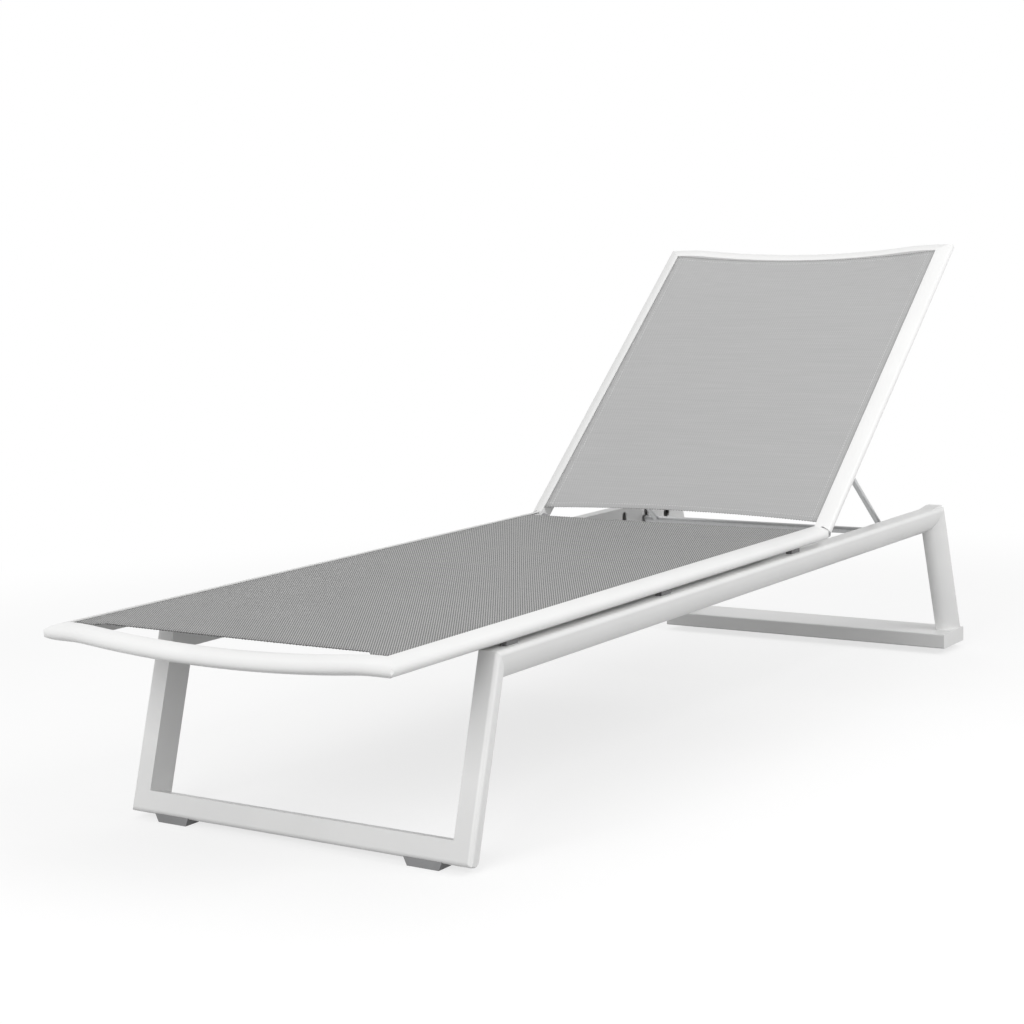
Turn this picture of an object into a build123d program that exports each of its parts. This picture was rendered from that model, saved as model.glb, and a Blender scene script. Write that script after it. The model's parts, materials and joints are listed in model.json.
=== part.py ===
"""Sun lounger with an aluminium frame, two mesh slings and a backrest that is propped by a bail.

X is the width, +Y points to the head end and +Z points up. The origin lies on the floor below the
middle of the lounger's length and width. Lengths are in millimetres and angles in degrees.
"""
from math import asin, atan, cos, degrees, radians, sin, tan
import os

from build123d import *

# Overall sizes
overall_width = 650.0
overall_length = 1938.7
seat_height = 336.0
seat_length = 1312.4
back_length = 777.0
rest_angle = 40.57
steepest_angle = 60.6

# Base frame, cut from one tube whose section is a quarter of an oval
tube_face = 35.0
tube_depth = 49.0
tube_wall = 2.5
tube_end_radius = 27.0
tube_edge_radius = 7.0
base_foot_height = 12.0
base_gap = 4.5
front_leg_foot_y = 159.5
front_leg_spread = 87.3
rear_leg_spread = 92.5
foot_corner_radius = 6.0
rear_bar_depth = 102.7
rear_bar_height = 29.5
rear_bar_edge_radius = 3.0
rear_cap_thickness = 2.5
rear_cap_plug = 8.0

# Low rise at the rear end of each base rail, which carries the backrest when it lies flat
rise_height = 4.0
rise_flat = 16.0
rise_slope = 34.0
rise_bend_radius = 60.0

# Rails of the seat and the backrest, cut from one extrusion whose section is half an oval
rail_width = 28.0
rail_height = 28.5
rail_nose_radius = 8.8
rail_wall = 1.8
rail_tip_radius = 5.0
groove_drop = 3.0
groove_width = 1.8
groove_depth = 6.0
groove_bore_radius = 1.6
groove_end = 15.0
foot_bar_sag = 14.0
top_bar_sag = 20.0
bar_stub = 40.0
bar_bend_radius = 400.0

# Hinge between the seat and the backrest
hinge_block = 26.0
knuckle_play = 0.5
hinge_washer = 1.0
hinge_side_play = 0.1
hinge_bolt_radius = 4.0
hinge_bolt_fit = 0.08
hinge_head_radius = 5.0
hinge_head_height = 2.6
hinge_recess = 3.0
hinge_recess_play = 0.4
hinge_socket_radius = 2.3
hinge_socket_depth = 1.6
hinge_nut_radius = 7.0
hinge_nut_height = 6.0
hinge_thread_end = 2.0
hinge_ring_radius = 9.0
hinge_inner_washer = 1.5

# Slings and the cords that lock their edges into the grooves
sling_thickness = 1.2
spline_radius = 1.35
seat_sling_front = 52.8
seat_sling_rear_gap = 44.0
back_sling_foot = 16.5
back_sling_foot_bow = 12.5
back_sling_top_gap = 0.3

# Spreader tubes between the side rails
spreader_radius = 10.0
spreader_wall = 1.6
spreader_drop = 3.0
spreader_sag = 28.0
spreader_stub = 14.0
spreader_slope = 70.0
spreader_bend_radius = 30.0
front_spreader_y = 450.0
rear_spreader_y = 1140.0
lower_spreader_y = 130.0
upper_spreader_y = 600.0

# Bail that props the backrest, and its catches in the base rails
bail_pivot_y = 211.7
bail_length = 288.7
bail_foot_drop = 33.0
bail_leg_inset = 37.0
bail_leg_radius = 5.8
bail_bar_radius = 7.0
bail_bar_wall = 1.6
bail_bar_gap = 0.5
bail_cap_length = 5.0
bail_plug_length = 9.0
bail_cap_edge = 1.5
bail_eye_radius = 9.0
bail_eye_thickness = 6.0
bail_eye_neck = 18.0
bail_pin_radius = 4.0
bail_pin_fit = 0.08
bail_pin_reach = 6.0
bail_pin_head = 3.0
bail_pin_head_radius = 7.5
bail_sleeve_radius = 7.0
bail_side_play = 0.3
bail_cope_play = 0.05
catch_pitch = 90.0
catch_play = 1.2
catch_hook = 9.0
catch_rise = 16.0

# Spacers and bolts between the seat frame and the base frame
spacer_ys = (300.0, 740.0, 1200.0)
spacer_length = 30.0
spacer_inset = 3.0
spacer_width = 12.0
frame_bolt_radius = 3.0
frame_bolt_fit = 0.1
frame_bolt_head_radius = 5.5
frame_bolt_head_height = 3.5
frame_bolt_reach = 6.0

# Foot pads under the crossbars
pad_inset = 85.0
pad_length = 68.0
pad_end_slope = 6.0
pad_width = 30.0
pad_setback = 2.0
pad_height = 13.0
pad_stud_radius = 5.0
pad_stud_height = 19.0
pad_stud_fit = 0.1

# A length past the work that every cut may run
overrun = 60.0

# Places that follow from the sizes
foot_y = -overall_length / 2
nose_x = overall_width / 2
rail_half_height = rail_height / 2
rail_x = nose_x - rail_width
tube_x = nose_x - tube_face
hinge_y = foot_y + seat_length
hinge_z = seat_height - rail_half_height
sling_z = rail_half_height - groove_drop
split_x = rail_x + rail_width / 2
split_gap = hinge_washer + 2 * hinge_side_play
hinge_floor_x = nose_x - hinge_recess
base_height = seat_height - rail_height - base_gap
base_rise = base_height - base_foot_height
front_corner_y = foot_y + front_leg_foot_y + front_leg_spread
rear_corner_y = foot_y + overall_length - rear_leg_spread
front_lean = degrees(atan(front_leg_spread / base_rise))
rear_lean = degrees(atan(rear_leg_spread / base_rise))
bail_foot_height = base_height - bail_foot_drop
bail_leg_x = rail_x - bail_leg_inset
pad_x = nose_x - pad_inset
rear_bar_middle_y = rear_bar_depth / 2 - rear_leg_spread
rear_bar_top = base_foot_height + rear_bar_height
rear_tube_end = nose_x - rear_cap_thickness
pivot_y = hinge_y + bail_pivot_y * cos(radians(rest_angle))
pivot_z = hinge_z + bail_pivot_y * sin(radians(rest_angle))
bail_angle = degrees(asin((pivot_z - bail_foot_height) / bail_length))
bail_foot_y = pivot_y + bail_length * cos(radians(bail_angle))

# The seat is drawn with the hinge axis along X through the origin and its rails running to -Y.
# The backrest is drawn the same way, turned end for end, and then tilted about the hinge.
# The bail is drawn hanging down to -Z from its pivot.
seat_place = Location((0, hinge_y, hinge_z))
back_place = Location((0, hinge_y, hinge_z), (rest_angle, 0, 0))
bail_place = Location((0, pivot_y, pivot_z), (90 - bail_angle, 0, 0))


def place_on_seat(piece):
    """Moves a piece from the hinge's own frame to the seat."""
    return piece.moved(seat_place)


def place_on_back(piece):
    """Turns a piece end for end, tilts it and moves it to the backrest."""
    return piece.mirror(Plane.XZ).moved(back_place)


def place_on_bail(piece):
    """Tilts a piece of the bail and moves it to the pivot."""
    return piece.moved(bail_place)


def write(piece, name):
    """Labels a piece and writes it to its own file."""
    piece.label = name
    export_step(piece, f"parts/{name}.step")


def write_pair(piece, name):
    """Writes a right-hand piece and its left-hand twin."""
    write(piece, name + "_right")
    write(piece.mirror(Plane.YZ), name + "_left")


# Base frame


def oval_arcs(across, along, end_radius):
    """Two tangent arcs that make a quarter of an oval.

    They run from (across, 0) to (0, along). The second arc has the end radius, and the first has
    the one radius that meets it without a kink.
    """
    numerator = across**2 + along**2 - 2 * along * end_radius
    side_radius = numerator / (2 * (across - end_radius))
    turn = degrees(atan((along - end_radius) / (side_radius - across)))
    with BuildLine() as arcs:
        CenterArc((across - side_radius, 0), side_radius, 0, turn)
        CenterArc((0, along - end_radius), end_radius, turn, 90 - turn)
    return arcs.line


def tube_section():
    """Quarter oval: x runs out along the flat face and y runs into the depth."""
    curve = oval_arcs(tube_face, tube_depth, tube_end_radius)
    with BuildSketch() as section:
        with BuildLine():
            add(curve)
            Line((0, tube_depth), (0, 0))
            Line((0, 0), (tube_face, 0))
        make_face()
        fillet(section.vertices().sort_by_distance((tube_face, 0, 0))[0], tube_edge_radius)
    return section.sketch


tube_outside = tube_section()
with BuildSketch() as tube_hollow:
    offset(tube_outside, amount=-tube_wall, kind=Kind.INTERSECTION)
tube_inside = tube_hollow.sketch


def base_tube(start, along, across, length, hollow=True):
    """A straight tube whose inner corner line leaves start in one direction.

    across is the direction in which its flat face runs out from that line.
    """
    section_plane = Plane(origin=start, x_dir=across, z_dir=along)
    with BuildPart() as tube:
        with BuildSketch(section_plane):
            add(tube_outside)
            if hollow:
                add(tube_inside, mode=Mode.SUBTRACT)
        extrude(amount=length)
    return tube.part


def mitre(corner, kept, other):
    """The mitre plane at a corner, facing the tube that leaves it in the kept direction."""
    return Plane(origin=corner, z_dir=kept - other)


def down_leg(lean):
    """Direction down a leg that leans towards -Y."""
    return Vector(0, -sin(radians(lean)), -cos(radians(lean)))


def into_leg(lean):
    """Direction into the depth of a leg that leans towards -Y."""
    return Vector(0, cos(radians(lean)), -sin(radians(lean)))


def foot_corner(lean):
    """Outer corner of a right-hand foot, below a rail corner that stands at y = 0."""
    return Vector(nose_x, 0, base_height) + down_leg(lean) * (base_rise / cos(radians(lean)))


def foot_tip(lean):
    """The sharp tip that is rounded off where a right-hand leg meets its crossbar."""
    with BuildPart() as tip:
        with BuildSketch(Plane(origin=foot_corner(lean), x_dir=(-1, 0, 0), z_dir=into_leg(lean))):
            Rectangle(foot_corner_radius, foot_corner_radius, align=(Align.MIN, Align.MIN))
            with Locations((foot_corner_radius, foot_corner_radius)):
                Circle(foot_corner_radius, mode=Mode.SUBTRACT)
        extrude(amount=tube_depth, both=True)
    return tip.part


def leg_blank(lean):
    """A right-hand leg that leans towards -Y from its mitre at y = 0, with its foot still uncut."""
    down = down_leg(lean)
    corner = Vector(tube_x, 0, base_height)
    length = base_rise / cos(radians(lean)) + 2 * overrun
    blank = base_tube(corner - down * (overrun - length), -down, Vector(1, 0, 0), length)
    with BuildPart() as leg:
        add(blank)
        split(bisect_by=mitre(corner, down, Vector(0, 1, 0)))
    return leg.part


def front_leg():
    """A right-hand leg whose foot is mitred to the front crossbar."""
    blank = leg_blank(front_lean)
    tip = foot_tip(front_lean)
    foot = mitre(foot_corner(front_lean), -down_leg(front_lean), Vector(-1, 0, 0))
    with BuildPart() as leg:
        add(blank)
        split(bisect_by=foot)
        add(tip, mode=Mode.SUBTRACT)
    return leg.part


def rear_leg():
    """A right-hand leg that is cut level where it stands on the rear crossbar."""
    blank = leg_blank(rear_lean)
    with BuildPart() as leg:
        add(blank)
        split(bisect_by=Plane.XY.offset(rear_bar_top))
    return leg.part


def front_bar_blank(hollow):
    """The tube that joins the feet of the front legs, with its mitred and rounded ends."""
    down = down_leg(front_lean)
    corner = foot_corner(front_lean)
    start = Vector(-nose_x - overrun, corner.Y, corner.Z) - down * tube_face
    blank = base_tube(start, Vector(1, 0, 0), down, overall_width + 2 * overrun, hollow)
    right_tip = foot_tip(front_lean)
    with BuildPart() as bar:
        add(blank)
        split(bisect_by=mitre(corner, Vector(-1, 0, 0), -down))
        split(bisect_by=mitre(Vector(-corner.X, corner.Y, corner.Z), Vector(1, 0, 0), -down))
        add(right_tip, mode=Mode.SUBTRACT)
        add(right_tip.mirror(Plane.YZ), mode=Mode.SUBTRACT)
    return bar.part


def rear_bar_blank(hollow):
    """The flat box tube under the rear legs, in a frame whose rail corners stand at y = 0."""
    with BuildPart() as bar:
        with BuildSketch(Plane.YZ.offset(-rear_tube_end)):
            with Locations((rear_bar_middle_y, rear_bar_top - rear_bar_height / 2)):
                RectangleRounded(rear_bar_depth, rear_bar_height, rear_bar_edge_radius)
                if hollow:
                    Rectangle(
                        rear_bar_depth - 2 * tube_wall,
                        rear_bar_height - 2 * tube_wall,
                        mode=Mode.SUBTRACT,
                    )
        extrude(amount=2 * rear_tube_end)
    return bar.part


def rear_bar_cap():
    """The painted plate that closes the right-hand end of the rear crossbar, with its plug."""
    with BuildPart() as cap:
        with BuildSketch(Plane.YZ.offset(rear_tube_end)):
            with Locations((rear_bar_middle_y, rear_bar_top - rear_bar_height / 2)):
                RectangleRounded(rear_bar_depth, rear_bar_height, rear_bar_edge_radius)
        extrude(amount=rear_cap_thickness)
        with BuildSketch(Plane.YZ.offset(rear_tube_end)):
            with Locations((rear_bar_middle_y, rear_bar_top - rear_bar_height / 2)):
                Rectangle(rear_bar_depth - 2 * tube_wall, rear_bar_height - 2 * tube_wall)
        extrude(amount=-rear_cap_plug)
    return cap.part


front_pad_middle = Vector(pad_x, foot_corner(front_lean).Y + pad_setback + pad_width / 2, 0)
rear_pad_middle = Vector(pad_x, rear_bar_edge_radius + pad_setback + pad_width / 2 - rear_leg_spread, 0)


def with_stud_holes(bar_blank, pad_middle):
    """A crossbar with holes for the studs of its two pads."""
    with BuildPart() as bar:
        add(bar_blank)
        with Locations(pad_middle, Vector(-pad_middle.X, pad_middle.Y, 0)):
            Cylinder(
                pad_stud_radius + pad_stud_fit,
                pad_stud_height,
                align=(Align.CENTER, Align.CENTER, Align.MIN),
                mode=Mode.SUBTRACT,
            )
    return bar.part


def foot_pad(bar_blank, middle):
    """A pad with sloped ends that meets the underside of a crossbar and is held by a stud."""
    with BuildPart() as pad:
        with BuildSketch(Plane(origin=middle, x_dir=(1, 0, 0), z_dir=(0, -1, 0))):
            with BuildLine():
                Polyline(
                    (-pad_length / 2 + pad_end_slope, 0),
                    (pad_length / 2 - pad_end_slope, 0),
                    (pad_length / 2, pad_height),
                    (-pad_length / 2, pad_height),
                    close=True,
                )
            make_face()
        extrude(amount=pad_width / 2, both=True)
        add(bar_blank, mode=Mode.SUBTRACT)
        with Locations(middle):
            Cylinder(pad_stud_radius, pad_stud_height, align=(Align.CENTER, Align.CENTER, Align.MIN))
    return pad.part


def catch(seat_y):
    """Hooked slot: the bar drops down the upright part and slides into the hook at seat_y."""
    radius = bail_bar_radius + catch_play
    entry_y = seat_y + catch_hook
    with BuildPart() as slot:
        with BuildSketch(Plane.YZ.offset(tube_x)):
            with Locations(((seat_y + entry_y) / 2, bail_foot_height)):
                SlotCenterToCenter(catch_hook, 2 * radius)
            with Locations((entry_y, bail_foot_height + catch_rise / 2)):
                SlotCenterToCenter(catch_rise, 2 * radius, rotation=90)
        extrude(amount=tube_wall * 2, both=True)
    return slot.part


def base_rail():
    """The right-hand rail, with the catches in its inner wall and the rise at its rear end."""
    front = Vector(tube_x, front_corner_y, base_height)
    rear = Vector(tube_x, rear_corner_y, base_height)
    along = Vector(0, 1, 0)
    rear_down = Vector(0, sin(radians(rear_lean)), -cos(radians(rear_lean)))
    length = rear_corner_y - front_corner_y + 2 * overrun
    blank = base_tube(front - along * overrun, along, Vector(1, 0, 0), length)
    flat_y = rear_corner_y - rise_flat
    slots = [catch(bail_foot_y + step * catch_pitch) for step in (-1, 0, 1)]
    with BuildPart() as rail:
        add(blank)
        split(bisect_by=mitre(front, along, down_leg(front_lean)))
        split(bisect_by=mitre(rear, -along, rear_down))
        with BuildSketch(Plane.YZ.offset(tube_x)):
            with BuildLine():
                FilletPolyline(
                    (flat_y - rise_slope - rise_bend_radius, base_height),
                    (flat_y - rise_slope, base_height),
                    (flat_y, base_height + rise_height),
                    (rear_corner_y - rise_height * tan(radians(rear_lean)), base_height + rise_height),
                    radius=rise_bend_radius,
                )
                Line(
                    (rear_corner_y - rise_height * tan(radians(rear_lean)), base_height + rise_height),
                    (rear_corner_y, base_height),
                )
                Line(
                    (rear_corner_y, base_height),
                    (flat_y - rise_slope - rise_bend_radius, base_height),
                )
            make_face()
        extrude(amount=tube_face - tube_edge_radius)
        for slot in slots:
            add(slot, mode=Mode.SUBTRACT)
        holes = [(rail_x + spacer_inset + spacer_width / 2, foot_y + y, base_height) for y in spacer_ys]
        with Locations(holes):
            Cylinder(frame_bolt_radius + frame_bolt_fit, 3 * tube_wall, mode=Mode.SUBTRACT)
    return rail.part


def move_to_front(piece):
    """Moves an end piece of the base to the front corners."""
    return piece.moved(Location((0, front_corner_y, 0)))


def move_to_rear(piece):
    """Turns an end piece of the base round and moves it to the rear corners."""
    return piece.mirror(Plane.XZ).moved(Location((0, rear_corner_y, 0)))


# Rails and bars of the seat and the backrest


def rail_section():
    """Half oval: x runs from the flat inner face to the nose."""
    upper = oval_arcs(rail_half_height, rail_width, rail_nose_radius)
    curve = upper.mirror(Plane.YZ)
    with BuildSketch() as section:
        with BuildLine():
            add(upper)
            add(curve)
            Line((-rail_half_height, 0), (rail_half_height, 0))
        make_face()
    return section.sketch.rotate(Axis.Z, -90).moved(Location((rail_x, 0, 0)))


rail_outside = rail_section()
with BuildSketch() as rail_grown:
    offset(rail_outside, amount=knuckle_play, kind=Kind.INTERSECTION)
rail_clearance = rail_grown.sketch
with BuildSketch() as rail_shrunk:
    offset(rail_outside, amount=-rail_wall, kind=Kind.INTERSECTION)
rail_hollow = rail_shrunk.sketch
with BuildSketch() as rail_cavity:
    add(rail_hollow)
    with Locations((rail_x, sling_z - groove_bore_radius - rail_wall)):
        Rectangle(2 * rail_width, 2 * rail_height, align=(Align.CENTER, Align.MIN), mode=Mode.SUBTRACT)
rail_inside = rail_cavity.sketch


def rail_groove():
    """The slot and the round bore that take a sling's edge and its cord."""
    with BuildSketch() as section:
        with Locations((rail_x - groove_width, sling_z)):
            Rectangle(groove_depth + groove_width, groove_width, align=(Align.MIN, Align.CENTER))
        with Locations((rail_x + groove_depth, sling_z)):
            Circle(groove_bore_radius)
    return section.sketch


rail_slot = rail_groove()


def knuckle(section, from_x, to_x):
    """The rounded end of a rail: its section turned about the hinge axis, between two distances."""
    with BuildPart() as ball:
        with BuildSketch(Plane.XZ):
            add(section)
            Rectangle(2 * nose_x + overrun, overrun, align=(Align.CENTER, Align.MAX), mode=Mode.SUBTRACT)
        revolve(axis=Axis.X)
        with Locations(((from_x + to_x) / 2, 0, 0)):
            Box(to_x - from_x, overrun, overrun, mode=Mode.INTERSECT)
    return ball.part


def knuckle_room(from_x, to_x):
    """The room that the other rail sweeps at the hinge, between two distances from the middle."""
    rise = Vector(0, cos(radians(steepest_angle)), sin(radians(steepest_angle)))
    with BuildPart() as room:
        with BuildSketch(Plane(origin=(0, 0, 0), x_dir=(1, 0, 0), z_dir=rise)):
            add(rail_clearance)
        extrude(amount=overrun)
        with Locations(((from_x + to_x) / 2, 0, 0)):
            Box(to_x - from_x, 3 * overrun, 3 * overrun, mode=Mode.INTERSECT)
    rounded = knuckle(rail_clearance, from_x, to_x)
    with BuildPart() as both:
        add(room.part)
        add(rounded)
    return both.part


def rail_tip(length):
    """The sharp tip that is rounded off where a right-hand rail meets its end bar."""
    with BuildPart() as tip:
        with BuildSketch(Plane.XY.offset(-rail_height)):
            with Locations((nose_x, -length)):
                Rectangle(rail_tip_radius, rail_tip_radius, align=(Align.MAX, Align.MIN))
            with Locations((nose_x - rail_tip_radius, rail_tip_radius - length)):
                Circle(rail_tip_radius, mode=Mode.SUBTRACT)
        extrude(amount=2 * rail_height)
    return tip.part


def side_rail(length, tongue_outside):
    """A right-hand rail that runs from the hinge to its mitred end.

    One rail of the hinge carries its tongue on the outside and the other on the inside.
    """
    inner_x = rail_x - overrun
    outer_x = nose_x + overrun
    if tongue_outside:
        tongue = knuckle(rail_outside, split_x + split_gap / 2, outer_x)
        room = knuckle_room(inner_x, split_x + split_gap / 2)
    else:
        tongue = knuckle(rail_outside, inner_x, split_x - split_gap / 2)
        room = knuckle_room(split_x - split_gap / 2, outer_x)
    corner = Vector(nose_x, -length, 0)
    tip = rail_tip(length)
    with BuildPart() as rail:
        with BuildSketch(Plane.XZ):
            add(rail_outside)
        extrude(amount=length + overrun)
        with BuildSketch(Plane.XZ.offset(hinge_block)):
            add(rail_inside)
        extrude(amount=length + overrun, mode=Mode.SUBTRACT)
        add(room, mode=Mode.SUBTRACT)
        add(tongue)
        with BuildSketch(Plane.XZ.offset(groove_end)):
            add(rail_slot)
        extrude(amount=length + overrun, mode=Mode.SUBTRACT)
        split(bisect_by=mitre(corner, Vector(0, 1, 0), Vector(-1, 0, 0)))
        add(tip, mode=Mode.SUBTRACT)
        with Locations((split_x, 0, 0)):
            Cylinder(
                hinge_bolt_radius + hinge_bolt_fit, 2 * rail_width, rotation=(0, 90, 0), mode=Mode.SUBTRACT
            )
        with Locations((hinge_floor_x + rail_width / 2, 0, 0)):
            Cylinder(
                hinge_head_radius + hinge_recess_play, rail_width, rotation=(0, 90, 0), mode=Mode.SUBTRACT
            )
    return rail.part


def bowed_path(half_length, stub, sag, bend_radius, plane=Plane.XZ, height=0):
    """A path along a plane's x that is straight at its ends and sags in between."""
    half_span = half_length - stub
    bend = degrees(2 * atan(sag / half_span))
    bow_radius = half_span / sin(radians(bend)) - bend_radius
    with BuildLine(plane) as path:
        first = Line((-half_length, height), (-half_span, height))
        into = JernArc(first @ 1, first % 1, bend_radius, -bend)
        bow = JernArc(into @ 1, into % 1, bow_radius, 2 * bend)
        out = JernArc(bow @ 1, bow % 1, bend_radius, -bend)
        PolarLine(out @ 1, stub, direction=out % 1)
    return path.line


def bowed_tube(path, outside, inside):
    """A tube along a bowed path, with a sketch for its outside and one for its inside."""
    wire = Wire(path.edges())
    start = Plane(origin=wire @ 0, x_dir=(0, -1, 0), z_dir=wire % 0)
    with BuildPart() as tube:
        with BuildSketch(start):
            add(outside)
        sweep(path=wire)
        with BuildSketch(start):
            add(inside)
        sweep(path=wire, mode=Mode.SUBTRACT)
    return tube.part


def end_bar(length, sag):
    """The bowed bar that closes the far end of a seat or backrest frame."""
    path = bowed_path(nose_x + bar_stub, 2 * bar_stub, sag, bar_bend_radius)
    outside = rail_outside.moved(Location((-rail_x, 0, 0)))
    inside = rail_hollow.moved(Location((-rail_x, 0, 0)))
    blank = bowed_tube(path, outside, inside).moved(Location((0, rail_width - length, 0)))
    right_tip = rail_tip(length)
    with BuildPart() as bar:
        add(blank)
        split(bisect_by=mitre(Vector(nose_x, -length, 0), Vector(-1, 0, 0), Vector(0, 1, 0)))
        split(bisect_by=mitre(Vector(-nose_x, -length, 0), Vector(1, 0, 0), Vector(0, 1, 0)))
        add(right_tip, mode=Mode.SUBTRACT)
        add(right_tip.mirror(Plane.YZ), mode=Mode.SUBTRACT)
    return bar.part


def spreader(distance):
    """A round tube between the side rails that dips below the sling, at a distance from the hinge."""
    shoulder_x = rail_x - spreader_stub
    floor_x = shoulder_x - spreader_slope
    with BuildLine(Plane.XZ) as path:
        FilletPolyline(
            (-rail_x, 0),
            (-shoulder_x, 0),
            (-floor_x, -spreader_sag),
            (floor_x, -spreader_sag),
            (shoulder_x, 0),
            (rail_x, 0),
            radius=spreader_bend_radius,
        )
    with BuildSketch() as outside:
        Circle(spreader_radius)
    with BuildSketch() as inside:
        Circle(spreader_radius - spreader_wall)
    tube = bowed_tube(path.line, outside.sketch, inside.sketch)
    return tube.moved(Location((0, -distance, -spreader_drop)))


# Slings and their cords


def spline_cord(near_end, far_end):
    """The cord that locks a sling's right-hand edge into the groove."""
    with BuildPart() as cord:
        with BuildSketch(Plane.XZ.offset(near_end)):
            with Locations((rail_x + groove_depth, sling_z)):
                Circle(spline_radius)
        extrude(amount=far_end - near_end)
    return cord.part


sling_half_width = rail_x + groove_depth - groove_bore_radius
seat_sling_near = seat_sling_rear_gap
seat_sling_far = seat_length - seat_sling_front
back_sling_near = back_sling_foot
back_sling_far = back_length - rail_width - back_sling_top_gap


def seat_sling():
    """The seat's sling, stretched flat between the side rails."""
    with BuildPart() as sling:
        with BuildSketch(Plane.XY.offset(sling_z)):
            with Locations((0, -(seat_sling_near + seat_sling_far) / 2)):
                Rectangle(2 * sling_half_width, seat_sling_far - seat_sling_near)
        extrude(amount=sling_thickness / 2, both=True)
    return sling.part


def back_sling():
    """The backrest's sling: flat at first, then drawn back to follow the bowed top bar."""
    half_span = nose_x - bar_stub
    bend = 2 * atan(top_bar_sag / half_span)
    inner_span = half_span - bar_bend_radius * sin(bend)
    lower = sling_z - sling_thickness / 2
    upper = sling_z + sling_thickness / 2
    far_stub = sling_half_width - half_span
    flat_xs = (-sling_half_width, -half_span, -inner_span, inner_span, half_span, sling_half_width)
    under = bowed_path(sling_half_width, far_stub, top_bar_sag, bar_bend_radius, Plane.XY, lower)
    over = bowed_path(sling_half_width, far_stub, top_bar_sag, bar_bend_radius, Plane.XY, upper)
    with BuildPart() as sling:
        with BuildSketch(Plane.XY.offset(sling_z)):
            with BuildLine():
                ThreePointArc(
                    (-sling_half_width, -back_sling_near),
                    (0, -back_sling_near - back_sling_foot_bow),
                    (sling_half_width, -back_sling_near),
                )
                Polyline(
                    (sling_half_width, -back_sling_near),
                    (sling_half_width, -upper_spreader_y),
                    (-sling_half_width, -upper_spreader_y),
                    (-sling_half_width, -back_sling_near),
                )
            make_face()
        extrude(amount=sling_thickness / 2, both=True)
        for near_x, far_x, low, high in zip(flat_xs, flat_xs[1:], under.edges(), over.edges()):
            with BuildSketch(Plane.XZ.offset(upper_spreader_y)) as flat_end:
                with Locations((near_x, lower)):
                    Rectangle(far_x - near_x, sling_thickness, align=(Align.MIN, Align.MIN))
            with BuildSketch(Plane.XZ.offset(back_sling_far)) as bowed_end:
                with BuildLine():
                    add(low)
                    add(high)
                    Line(low @ 0, high @ 0)
                    Line(low @ 1, high @ 1)
                make_face()
            loft(sections=[flat_end.sketch, bowed_end.sketch], ruled=True)
    return sling.part


# Hinge fasteners, drawn with the hinge at the origin


def along_x(radius, from_x, to_x):
    """A cylinder along X between two distances from the middle."""
    with BuildPart() as rod:
        with BuildSketch(Plane.YZ.offset(from_x)):
            Circle(radius)
        extrude(amount=to_x - from_x)
    return rod.part


inner_stack_x = rail_x - hinge_side_play
nut_face_x = inner_stack_x - hinge_inner_washer


def hinge_bolt():
    """A right-hand hinge bolt, its socket head sunk into the nose of the rail."""
    shank = along_x(hinge_bolt_radius, nut_face_x - hinge_nut_height - hinge_thread_end, hinge_floor_x)
    head = along_x(hinge_head_radius, hinge_floor_x, hinge_floor_x + hinge_head_height)
    with BuildPart() as bolt:
        add(shank)
        add(head)
        with BuildSketch(Plane.YZ.offset(hinge_floor_x + hinge_head_height - hinge_socket_depth)):
            RegularPolygon(hinge_socket_radius, 6)
        extrude(amount=hinge_socket_depth, mode=Mode.SUBTRACT)
    return bolt.part


def hinge_ring(from_x, thickness):
    """A washer on the hinge bolt."""
    with BuildPart() as ring:
        with BuildSketch(Plane.YZ.offset(from_x)):
            Circle(hinge_ring_radius)
            Circle(hinge_bolt_radius + hinge_bolt_fit, mode=Mode.SUBTRACT)
        extrude(amount=thickness)
    return ring.part


def hinge_nut():
    """The hexagonal nut on the inner end of the hinge bolt."""
    with BuildPart() as nut:
        with BuildSketch(Plane.YZ.offset(nut_face_x - hinge_nut_height)):
            RegularPolygon(hinge_nut_radius, 6)
            Circle(hinge_bolt_radius, mode=Mode.SUBTRACT)
        extrude(amount=hinge_nut_height)
    return nut.part


# Bail, drawn hanging down from its pivot at the origin

eye_inner_x = bail_leg_x - bail_eye_thickness / 2
eye_outer_x = bail_leg_x + bail_eye_thickness / 2


def bail_leg():
    """A right-hand rod with a flattened eye at the pivot, its foot cut to fit the crossbar."""
    bore = along_x(bail_pin_radius + bail_pin_fit, eye_inner_x, eye_outer_x)
    with BuildPart() as leg:
        with BuildSketch(Plane.YZ.offset(eye_inner_x)):
            Circle(bail_eye_radius)
            Rectangle(2 * bail_leg_radius, bail_eye_neck, align=(Align.CENTER, Align.MAX))
        extrude(amount=bail_eye_thickness)
        with Locations((bail_leg_x, 0, -bail_eye_neck)):
            Sphere(bail_leg_radius)
            Cylinder(
                bail_leg_radius,
                bail_length - bail_eye_neck,
                align=(Align.CENTER, Align.CENTER, Align.MAX),
            )
        add(bore, mode=Mode.SUBTRACT)
        with Locations((bail_leg_x, 0, -bail_length)):
            Cylinder(
                bail_bar_radius + bail_cope_play,
                4 * bail_leg_radius,
                rotation=(0, 90, 0),
                mode=Mode.SUBTRACT,
            )
        split(bisect_by=Plane.XY.offset(-bail_length))
    return leg.part


bail_half_length = tube_x - bail_bar_gap
bail_tube_end = bail_half_length - bail_cap_length


def bail_crossbar():
    """The tube that joins the legs and drops into the catches."""
    with BuildPart() as bar:
        with BuildSketch(Plane(origin=(-bail_tube_end, 0, -bail_length), x_dir=(0, 1, 0), z_dir=(1, 0, 0))):
            Circle(bail_bar_radius)
            Circle(bail_bar_radius - bail_bar_wall, mode=Mode.SUBTRACT)
        extrude(amount=2 * bail_tube_end)
    return bar.part


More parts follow.
